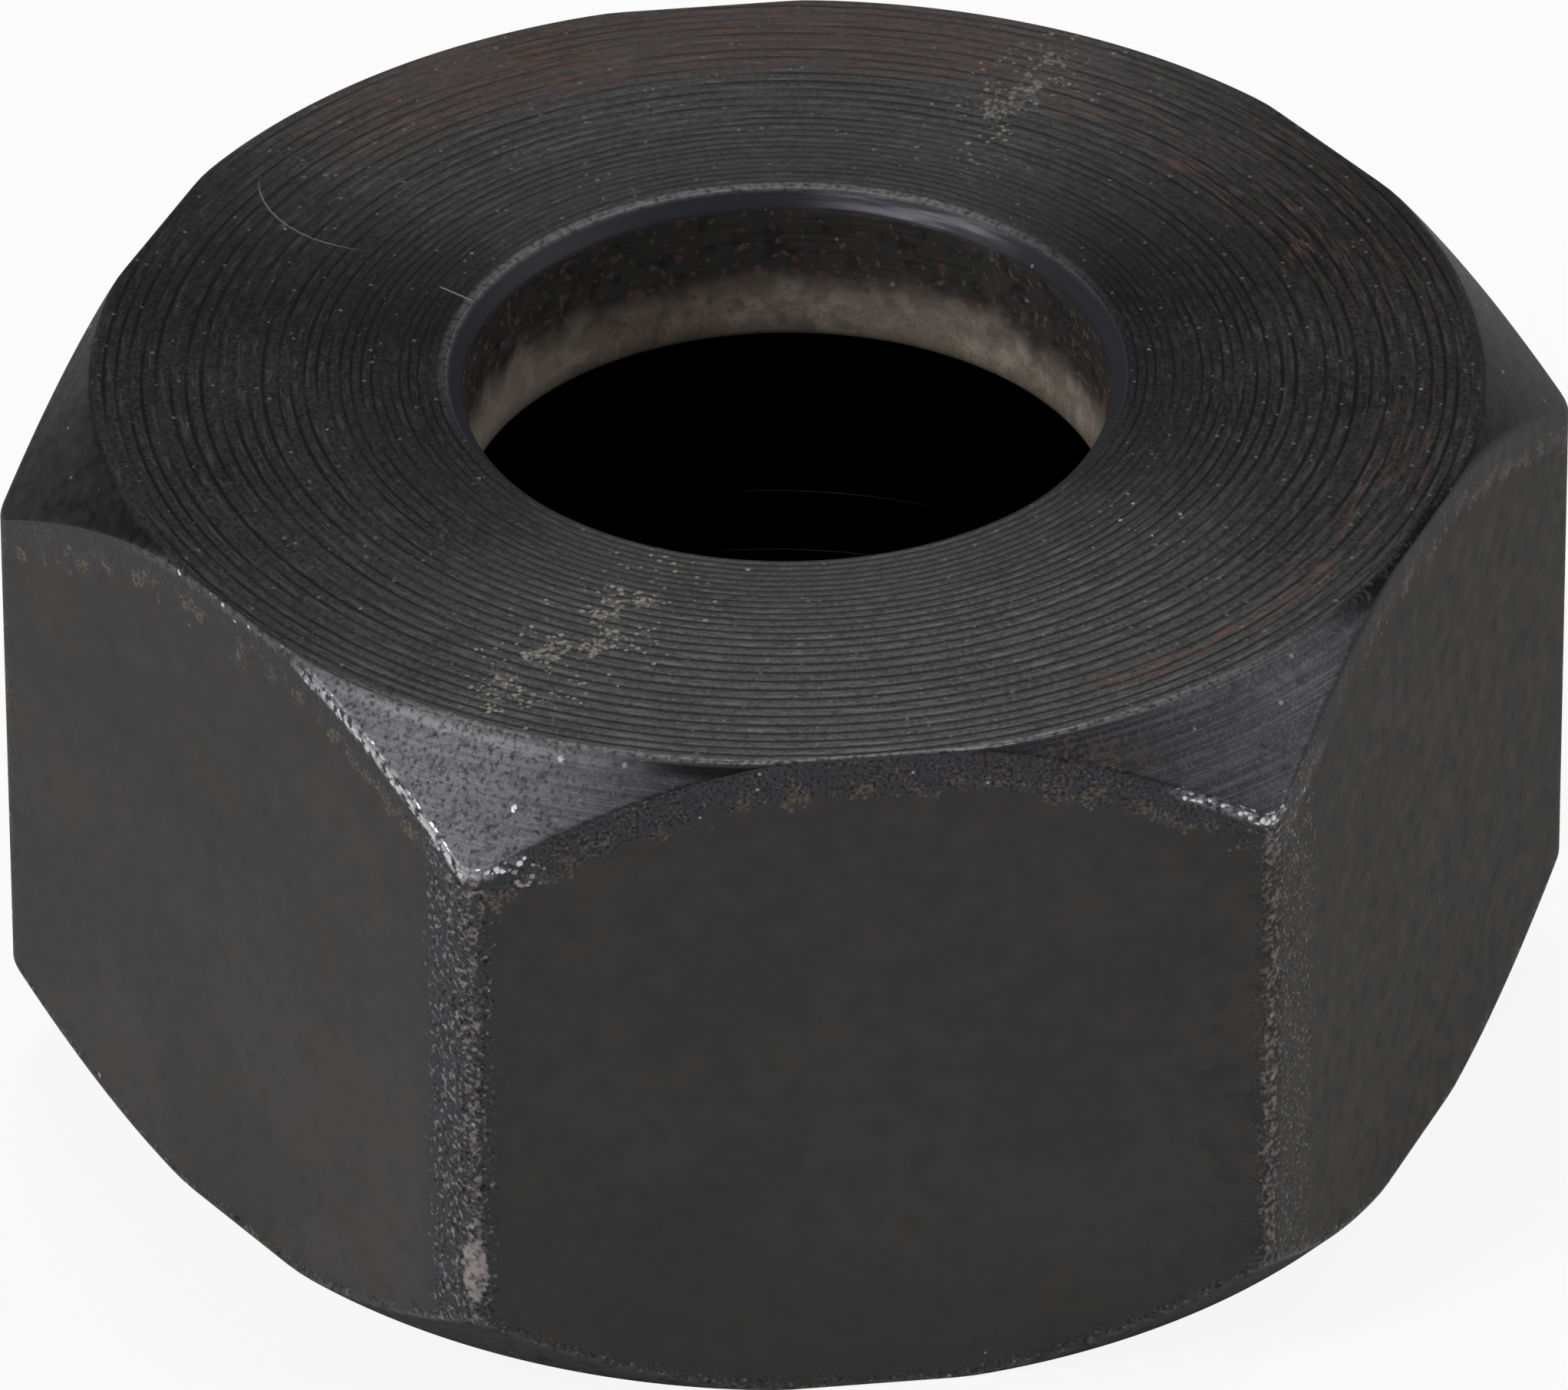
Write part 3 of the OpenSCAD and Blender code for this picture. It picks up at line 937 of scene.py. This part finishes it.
def bored_wall():
    """Bore and its rim: a black wall with rust, a bare band where shanks rub, and a dark rim."""
    wall = Finish("bored_wall", WALL_GREY, 0.5, 0.15)
    lines = wall.noise(1.0, wall.ring_place(2.0, 0.06, wall.z), detail=3.0)
    mottles = wall.noise(0.4, detail=4.0)
    blotches = wall.noise(0.3, wall.shifted(8.0), detail=4.0)
    wall.cover(wall.times(wall.fade(mottles, 0.42, 0.62), 0.8), WALL_BROWN, 0.6)
    wall.cover(wall.times(wall.fade(lines, 0.5, 0.66), 0.5), WALL_LINES, 0.6)
    wall.cover(wall.times(wall.fade(blotches, 0.5, 0.7), 0.7), WALL_BLOTCHES, 0.6)
    rub_wall(wall, mottles, blotches)
    wear_rim(wall, lines)
    wall.cover(wall.times(wall.specks(0.35, 0.05, 0.3, seed=3.0), 0.5), DUST, 0.8)
    wall.relief(lines, 0.004)
    return wall.finished()


# Collet seat, run-out groove and thread
OIL_AND_SHADE_BLACK = (0.0006, 0.0006, 0.0006)
MOUTH_STEEL = (0.022, 0.0215, 0.021)
FLANK_STEEL = (0.05, 0.049, 0.048)


def threaded_inside():
    """Inside: near-black, partly oil and partly painted shade that keeps the depth of the bore black; cleaner
    at the thread's mouth, and lighter on the flanks that face down.
    """
    # partly painted shade: the whole inside near-black, for the shade deep in the bore, and partly oil
    inside = Finish("threaded_inside", OIL_AND_SHADE_BLACK, 0.9, 0.0)
    patchy = inside.fade(inside.noise(0.5, detail=3.0), 0.3, 0.6)
    mouth = inside.times(inside.fade(inside.z, 2.6, 1.2), patchy)
    inside.cover(mouth, MOUTH_STEEL, 0.45, specular=0.4)
    upward = inside.vector("DOT_PRODUCT", inside.node("TexCoord").outputs["Normal"], (0, 0, 1))
    threaded = inside.fade(inside.z, THREAD_TOP_Z, THREAD_TOP_Z - 0.3)
    flanks = inside.times(inside.fade(upward, -0.6, -0.85), threaded)
    inside.cover(flanks, FLANK_STEEL, 0.45, specular=0.4)
    return inside.finished()


finishes = (turned_face(), turned_bevel(), drawn_flat(), bored_wall(), threaded_inside())
nut = build_nut({finish.name: finish for finish in finishes})
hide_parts(NODE)
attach(nut, "root")


# Floor, which is white to the camera and in reflections but keeps a soft shadow
def build_floor():
    half = 1.0
    drop = 0.00001
    grey = 0.7
    own_light = 0.9
    corners = [(x, y, -drop) for x, y in ((-half, -half), (half, -half), (half, half), (-half, half))]
    mesh = bpy.data.meshes.new("floor")
    mesh.from_pydata(corners, [], [(0, 1, 2, 3)])
    floor = bpy.data.objects.new("floor", mesh)
    bpy.context.scene.collection.objects.link(floor)
    material = bpy.data.materials.new("white_floor")
    material.use_nodes = True
    tree = material.node_tree
    surface = tree.nodes["Principled BSDF"]
    surface.inputs["Base Color"].default_value = (grey, grey, grey, 1)
    surface.inputs["Roughness"].default_value = 1.0
    surface.inputs["Specular IOR Level"].default_value = 0.0
    glow = tree.nodes.new("ShaderNodeEmission")
    paths = tree.nodes.new("ShaderNodeLightPath")
    seen = paths.outputs["Is Camera Ray"]
    for ray in ("Is Glossy Ray", "Is Transmission Ray"):
        either = tree.nodes.new("ShaderNodeMath")
        either.operation = "MAXIMUM"
        tree.links.new(seen, either.inputs[0])
        tree.links.new(paths.outputs[ray], either.inputs[1])
        seen = either.outputs[0]
    share = tree.nodes.new("ShaderNodeMath")
    share.operation = "MULTIPLY"
    share.inputs[1].default_value = own_light
    tree.links.new(seen, share.inputs[0])
    mix = tree.nodes.new("ShaderNodeMixShader")
    tree.links.new(share.outputs[0], mix.inputs[0])
    tree.links.new(surface.outputs[0], mix.inputs[1])
    tree.links.new(glow.outputs[0], mix.inputs[2])
    tree.links.new(mix.outputs[0], tree.nodes["Material Output"].inputs["Surface"])
    mesh.materials.append(material)


build_floor()


# Light: each share is of the light in which a white surface that faces it shows as white
WORLD_SHARE = 0.12


def build_world():
    world = bpy.data.worlds.new("studio")
    bpy.context.scene.world = world
    world.use_nodes = True
    background = world.node_tree.nodes["Background"]
    background.inputs["Color"].default_value = (1, 1, 1, 1)
    background.inputs["Strength"].default_value = WORLD_SHARE


def softbox(name, direction, distance, size, share):
    light = bpy.data.lights.new(name, "AREA")
    light.size = size
    light.energy = math.pi**2 * distance**2 * share
    lamp = bpy.data.objects.new(name, light)
    lamp.location = Vector(direction).normalized() * distance
    lamp.rotation_euler = (-lamp.location).to_track_quat("-Z", "Y").to_euler()
    bpy.context.scene.collection.objects.link(lamp)


build_world()
softbox("left_softbox", direction=(-0.68, -0.26, 0.69), distance=0.5, size=0.30, share=0.54)
softbox("right_softbox", direction=(0.81, -0.08, 0.59), distance=0.5, size=0.30, share=0.24)
softbox("back_softbox", direction=(0.09, 0.44, 0.90), distance=0.5, size=0.28, share=0.45)

# Camera: the photograph's view, with its target raised and shifted in the picture plane
CAMERA_AZIMUTH = math.radians(-6.799)
CAMERA_ELEVATION = math.radians(34.159)
CAMERA_ROLL = math.radians(-0.245)
CAMERA_DISTANCE = 290.46
CAMERA_SHIFT = (-0.0743, 4.1411)
FOCAL_PIXELS = 26974.6
PHOTO_WIDTH = 2044
SENSOR_WIDTH = 36.0


def build_camera():
    back = Vector(
        (
            math.sin(CAMERA_AZIMUTH) * math.cos(CAMERA_ELEVATION),
            -math.cos(CAMERA_AZIMUTH) * math.cos(CAMERA_ELEVATION),
            math.sin(CAMERA_ELEVATION),
        )
    )
    level = Vector((math.cos(CAMERA_AZIMUTH), math.sin(CAMERA_AZIMUTH), 0))
    right = Matrix.Rotation(CAMERA_ROLL, 3, back) @ level
    up = back.cross(right)
    place = (back * CAMERA_DISTANCE + right * CAMERA_SHIFT[0] + up * CAMERA_SHIFT[1]) * MM
    data = bpy.data.cameras.new("camera")
    data.sensor_width = SENSOR_WIDTH
    data.lens = FOCAL_PIXELS * SENSOR_WIDTH / PHOTO_WIDTH
    data.clip_start = 0.01
    data.clip_end = 10
    camera = bpy.data.objects.new("camera", data)
    turn = Matrix((right, up, back)).transposed().to_4x4()
    camera.matrix_world = Matrix.Translation(place) @ turn
    bpy.context.scene.collection.objects.link(camera)
    bpy.context.scene.camera = camera


build_camera()
bpy.context.scene.view_settings.view_transform = "Standard"
